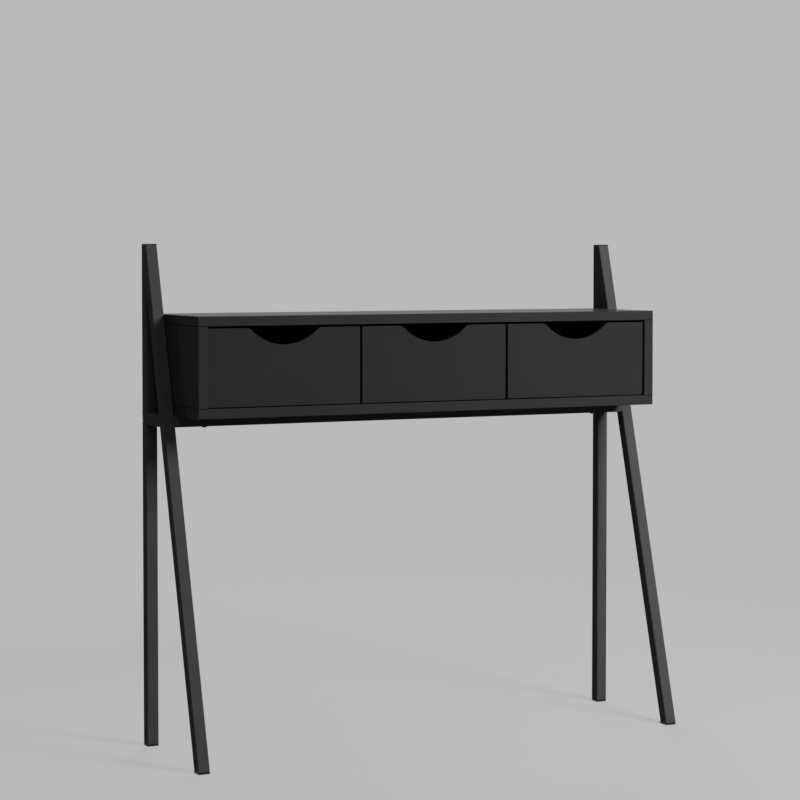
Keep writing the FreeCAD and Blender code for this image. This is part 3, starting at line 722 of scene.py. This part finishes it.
def recessed_head_tree():
    tree, size = new_tree("recessed_head", {
        "Head Radius": "Float", "Head Height": "Float", "Shank Radius": "Float", "Shank Length": "Float",
        "Recess Sides": "Float", "Recess Reach": "Float", "Recess Half Width": "Float", "Seed": "Int"})
    head = head_skin(tree, size)

    # the shank hangs below the seat
    rod = add(tree, "GeometryNodeMeshCylinder", {"Vertices": SHANK_STEPS, "Radius": size["Shank Radius"],
                                                 "Depth": size["Shank Length"]})
    down = add(tree, "ShaderNodeMath", [size["Shank Length"], -0.5, SHANK_OVERLAP],
               operation="MULTIPLY_ADD")
    drop = add(tree, "ShaderNodeCombineXYZ", [0.0, 0.0, down])
    shank = add(tree, "GeometryNodeTransform", {"Geometry": rod, "Translation": drop})
    whole = add(tree, "GeometryNodeJoinGeometry", {"Geometry": [head, shank]})

    # one on every seat, facing out, and turned by chance as driven screws are
    facing = add(tree, "GeometryNodeInputNamedAttribute", {"Name": "facing"}, data_type="FLOAT_VECTOR")
    outward = add(tree, "FunctionNodeAlignRotationToVector", {"Vector": facing}, axis="Z")
    chance = add(tree, "FunctionNodeRandomValue", {2: 0.0, 3: math.tau, "Seed": size["Seed"]},
                 data_type="FLOAT")
    spin = add(tree, "FunctionNodeAxisAngleToRotation", {"Axis": (0.0, 0.0, 1.0),
                                                         "Angle": chance.outputs[1]})
    turned = add(tree, "FunctionNodeRotateRotation", [outward, spin], rotation_space="LOCAL")
    placed = add(tree, "GeometryNodeInstanceOnPoints", {"Points": size["Geometry"], "Instance": whole,
                                                        "Rotation": turned})
    return close_tree(tree, placed, size["Finish"])


head_tree = recessed_head_tree()
print(head_tree.name, "nodes:", len(head_tree.nodes))

# %% [markdown]
# The seats are read from the frame: the nodes' boxes reach to the outsides of the heads. Each seat is a
# point that also carries the direction that its head faces.


# %% Seats, and the fasteners on them
def seats(name, places, facings):
    mesh = bpy.data.meshes.new(name)
    mesh.from_pydata(places, [], [])
    facing = mesh.attributes.new("facing", "FLOAT_VECTOR", "POINT")
    facing.data.foreach_set("vector", [number for direction in facings for number in direction])
    return mesh


def fasteners(node, tree, places, facings, sizes):
    piece = grown(f"{node}_recessed", tree, seats(node, places, facings),
                  {**sizes, "Finish": FINISHES[SLOT_OF[node]]})
    stand_in(smoothed(piece), node)
    print(piece.name, "heads:", len(places), "faces:", len(piece.data.polygons))


# %% Two bolts in the posts
low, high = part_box("rear_rail_bolts")
bolt = {"Head Radius": (high.z - low.z) / 2, "Head Height": 2.2 * MM, "Shank Radius": 3 * MM,
        "Shank Length": 36 * MM, "Recess Sides": 6.0, "Recess Reach": 2 * MM,
        "Recess Half Width": 10 * MM, "Seed": 4}
middle = (low + high) / 2
fasteners("rear_rail_bolts", head_tree,
          [(side * (high.x - bolt["Head Height"]), middle.y, middle.z) for side in (-1, 1)],
          [(side, 0, 0) for side in (-1, 1)], bolt)

# %% Four screws under the rails
low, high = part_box("box_screws")
screw = {"Head Radius": 5 * MM, "Head Height": 2.5 * MM, "Shank Radius": 2 * MM, "Shank Length": 33 * MM,
         "Recess Sides": 4.0, "Recess Reach": 2.7 * MM, "Recess Half Width": 0.6 * MM, "Seed": 9}
fasteners("box_screws", head_tree,
          [(side * (high.x - screw["Head Radius"]), y, low.z + screw["Head Height"])
           for side in (-1, 1) for y in (low.y + screw["Head Radius"], high.y - screw["Head Radius"])],
          [(0, 0, -1)] * 4, screw)

# %% [markdown]
# ## Welds
# The tubes of each side are welded. The outer faces are ground flush before coating, but in the inner corners
# the beads stay. A bead is a row of overlapping ripples, so the tree sweeps a circle along the corner and
# lets its radius swell and shrink with the length. Powder softens the ripples, and they stay low.

# %% A tree for the beads
STEPS_PER_RIPPLE, BEAD_SIDES = 8, 16
RUN_OUT = 8.0


def weld_bead_tree():
    tree, size = new_tree("weld_bead", {"Radius": "Float", "Ripple": "Float", "Swell": "Float"})
    line = add(tree, "GeometryNodeMeshToCurve", {"Mesh": size["Geometry"]})
    step = add(tree, "ShaderNodeMath", [size["Ripple"], 1 / STEPS_PER_RIPPLE], operation="MULTIPLY")
    fine = add(tree, "GeometryNodeResampleCurve", {"Curve": line, "Length": step}, mode="LENGTH")
    along = add(tree, "GeometryNodeSplineParameter")

    # ripples, and ends that run out to nothing
    ripples = add(tree, "ShaderNodeMath", [along.outputs["Length"], size["Ripple"]], operation="DIVIDE")
    phase = add(tree, "ShaderNodeMath", [ripples, math.tau], operation="MULTIPLY")
    wave = add(tree, "ShaderNodeMath", [phase], operation="SINE")
    swell = add(tree, "ShaderNodeMath", [wave, size["Swell"], 1.0], operation="MULTIPLY_ADD")
    reach = add(tree, "ShaderNodeMath", [along.outputs["Factor"], 2.0, -1.0], operation="MULTIPLY_ADD")
    from_middle = add(tree, "ShaderNodeMath", [reach], operation="ABSOLUTE")
    far = add(tree, "ShaderNodeMath", [from_middle, RUN_OUT], operation="POWER")
    run_out = add(tree, "ShaderNodeMath", [1.0, far], operation="SUBTRACT", use_clamp=True)
    taper = add(tree, "ShaderNodeMath", [run_out], operation="SQRT")
    scale = add(tree, "ShaderNodeMath", [swell, taper], operation="MULTIPLY")

    circle = add(tree, "GeometryNodeCurvePrimitiveCircle", {"Resolution": BEAD_SIDES,
                                                            "Radius": size["Radius"]})
    bead = add(tree, "GeometryNodeCurveToMesh", {"Curve": fine, "Profile Curve": circle, "Scale": scale,
                                                 "Fill Caps": True})
    closed = add(tree, "GeometryNodeMergeByDistance", {"Geometry": bead, "Distance": MERGE})
    return close_tree(tree, closed, size["Finish"])


bead_tree = weld_bead_tree()
print(bead_tree.name, "nodes:", len(bead_tree.nodes))

# %% Inner corners of both sides
WELD_INSET = 1.5 * MM


def foremost(node, height):
    """The least Y of a node's points at one height."""
    return min(vert.co.y for vert in NODES[node].data.vertices if abs(vert.co.z - height) < MERGE)


weld_lines = []
for side in ("left", "right"):
    strut_low, strut_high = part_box(f"{side}_side_strut")
    post_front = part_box(f"{side}_rear_post")[0].y
    leg_low, leg_high = [foremost(f"{side}_side_strut", height)
                         for height in (strut_low.z, strut_high.z)]
    slope = (leg_high - leg_low) / (strut_high.z - strut_low.z)
    inner_apex = strut_high.z + (post_front - leg_high) / slope
    corners = [(post_front, strut_low.z), (post_front, strut_high.z), (leg_low, strut_low.z),
               (leg_high, strut_high.z), (post_front, inner_apex)]
    for y, z in corners:
        weld_lines += [(strut_low.x + WELD_INSET, y, z), (strut_high.x - WELD_INSET, y, z)]
print("corners to weld:", len(weld_lines) // 2, "inner apex at", round(inner_apex / MM, 1), "mm")

# %% Beads in those corners
weld_mesh = bpy.data.meshes.new("weld_lines")
weld_mesh.from_pydata(weld_lines, [(start, start + 1) for start in range(0, len(weld_lines), 2)], [])
welds = grown("frame_welds", bead_tree, weld_mesh,
              {"Radius": 1.6 * MM, "Ripple": 2.2 * MM, "Swell": 0.1, "Finish": FINISHES["frame_steel"]})
smoothed(welds)
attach(welds, BODY_OF["left_side_strut"])
print(welds.name, "faces:", len(welds.data.polygons))

# %% [markdown]
# ## Camera
# The picture was taken from the left, a little above the top of the box, with a long lens. The camera tilts
# down slightly, which keeps its shift small.

# %% The photograph's camera
CAMERA_PLACE = Vector((-1.9632, -3.9233, 0.9222))
CAMERA_YAW, CAMERA_TILT = math.radians(26.195), math.radians(2.45)
LENS, SENSOR_WIDTH, SHIFT_UP = 103.643, 36.0, -0.06
camera_data = bpy.data.cameras.new("photo_camera")
camera_data.lens = LENS
camera_data.sensor_width = SENSOR_WIDTH
camera_data.shift_y = SHIFT_UP
camera = bpy.data.objects.new("photo_camera", camera_data)
camera.location = CAMERA_PLACE
camera.rotation_euler = (math.pi / 2 - CAMERA_TILT, 0.0, -CAMERA_YAW)
bpy.context.scene.collection.objects.link(camera)
bpy.context.scene.camera = camera
bpy.context.scene.view_settings.view_transform = "Standard"
print("camera at", [round(number, 3) for number in camera.location], "lens", camera_data.lens, "mm")

# %% [markdown]
# ## Light and floor
# A plain studio: one soft box above and to the right, a weaker one above and to the left, one behind for the
# back of the desk, and a faint one at the left for its side. The room itself is dim. What the camera and the
# reflections see behind the desk is a pale grey backdrop. Its light stays off the desk, and the reflections
# leave the lamps out, so that the black faces show no white patches.


# %% The room
def seen_directly(tree):
    """1 for what the camera, a reflection or glass sees, and 0 for light that bounces between surfaces."""
    ray = add(tree, "ShaderNodeLightPath").outputs
    through = add(tree, "ShaderNodeMath", [ray["Is Glossy Ray"], ray["Is Transmission Ray"]],
                  operation="MAXIMUM")
    return add(tree, "ShaderNodeMath", [ray["Is Camera Ray"], through], operation="MAXIMUM")


BACKDROP, ROOM_LIGHT = "#bababa", 0.07
world = bpy.data.worlds.new("studio")
bpy.context.scene.world = world
world.use_nodes = True
room = world.node_tree
room.nodes.clear()
dim_room = add(room, "ShaderNodeBackground", {"Color": linear("#ffffff"), "Strength": ROOM_LIGHT})
backdrop = add(room, "ShaderNodeBackground", {"Color": linear(BACKDROP), "Strength": 1.0})
shown = add(room, "ShaderNodeMixShader", [seen_directly(room), dim_room, backdrop])
add(room, "ShaderNodeOutputWorld", {"Surface": shown})
print("backdrop", BACKDROP, "room light", ROOM_LIGHT)


# %% The lamps
DESK_MIDDLE = (0.0, 0.0, 0.6)


def soft_box(name, place, aim, side, power, spread=180):
    data = bpy.data.lights.new(name, "AREA")
    data.size = side
    data.energy = power
    data.spread = math.radians(spread)
    lamp = bpy.data.objects.new(name, data)
    lamp.location = place
    lamp.rotation_euler = (Vector(aim) - Vector(place)).to_track_quat("-Z", "Y").to_euler()
    lamp.visible_camera = lamp.visible_glossy = False
    bpy.context.scene.collection.objects.link(lamp)


soft_box("key", place=(1.2, -2.2, 2.0), aim=(0.9, 0.0, 0.4), side=1.0, power=64.0, spread=130)
soft_box("fill", place=(-1.0, -2.6, 2.1), aim=DESK_MIDDLE, side=1.2, power=13.0)
soft_box("back", place=(1.2, 2.8, 2.4), aim=DESK_MIDDLE, side=1.5, power=90.0)
soft_box("left", place=(-2.8, 0.2, 1.2), aim=DESK_MIDDLE, side=1.2, power=3.0)
print("lamps in watts:", {lamp.name: lamp.energy for lamp in bpy.data.lights})

# %% [markdown]
# The floor is a disc that fades out a few metres away, so that no horizon crosses the picture. Most of its
# grey is given to what sees it directly, as in the backdrop. The rest is paint that takes the desk's shadow.

# %% Paint that fades out
FADE_START, FADE_END = 0.7, 3.0
FLOOR_SHADE, EVEN_SHARE = "#6e6e6e", 0.85
floor_paint, paint_tree, paint, paint_place = blank("pale_floor_paint", 0.9)
seen = seen_directly(paint_tree)
grey = add(paint_tree, "ShaderNodeMix", {0: seen, 6: linear(FLOOR_SHADE), 7: linear(BACKDROP)},
           data_type="RGBA")
paint_tree.links.new(grey.outputs[2], paint.inputs["Base Color"])
even_grey = add(paint_tree, "ShaderNodeEmission", {"Color": linear(BACKDROP), "Strength": 1.0})
even = add(paint_tree, "ShaderNodeMath", [seen, EVEN_SHARE], operation="MULTIPLY")
floor_look = add(paint_tree, "ShaderNodeMixShader", [even, paint, even_grey])
reach = add(paint_tree, "ShaderNodeVectorMath", [paint_place], operation="LENGTH")
fade = add(paint_tree, "ShaderNodeMapRange", {"Value": reach.outputs["Value"], "From Min": FADE_START,
                                              "From Max": FADE_END}, interpolation_type="SMOOTHSTEP")
clear = add(paint_tree, "ShaderNodeBsdfTransparent")
faded = add(paint_tree, "ShaderNodeMixShader", [fade, floor_look, clear])
paint_tree.links.new(faded.outputs[0], paint_tree.nodes["Material Output"].inputs["Surface"])
print("paint fades out from", FADE_START, "to", FADE_END, "m")

# %% The floor
FLOOR_RADIUS, FLOOR_SEGMENTS = 6.0, 96
floor_mesh = bpy.data.meshes.new("floor")
disc = bmesh.new()
bmesh.ops.create_circle(disc, cap_ends=True, segments=FLOOR_SEGMENTS, radius=FLOOR_RADIUS)
disc.to_mesh(floor_mesh)
disc.free()
floor_mesh.materials.append(floor_paint)
new_piece("floor", floor_mesh)
print("floor disc:", 2 * FLOOR_RADIUS, "m across")
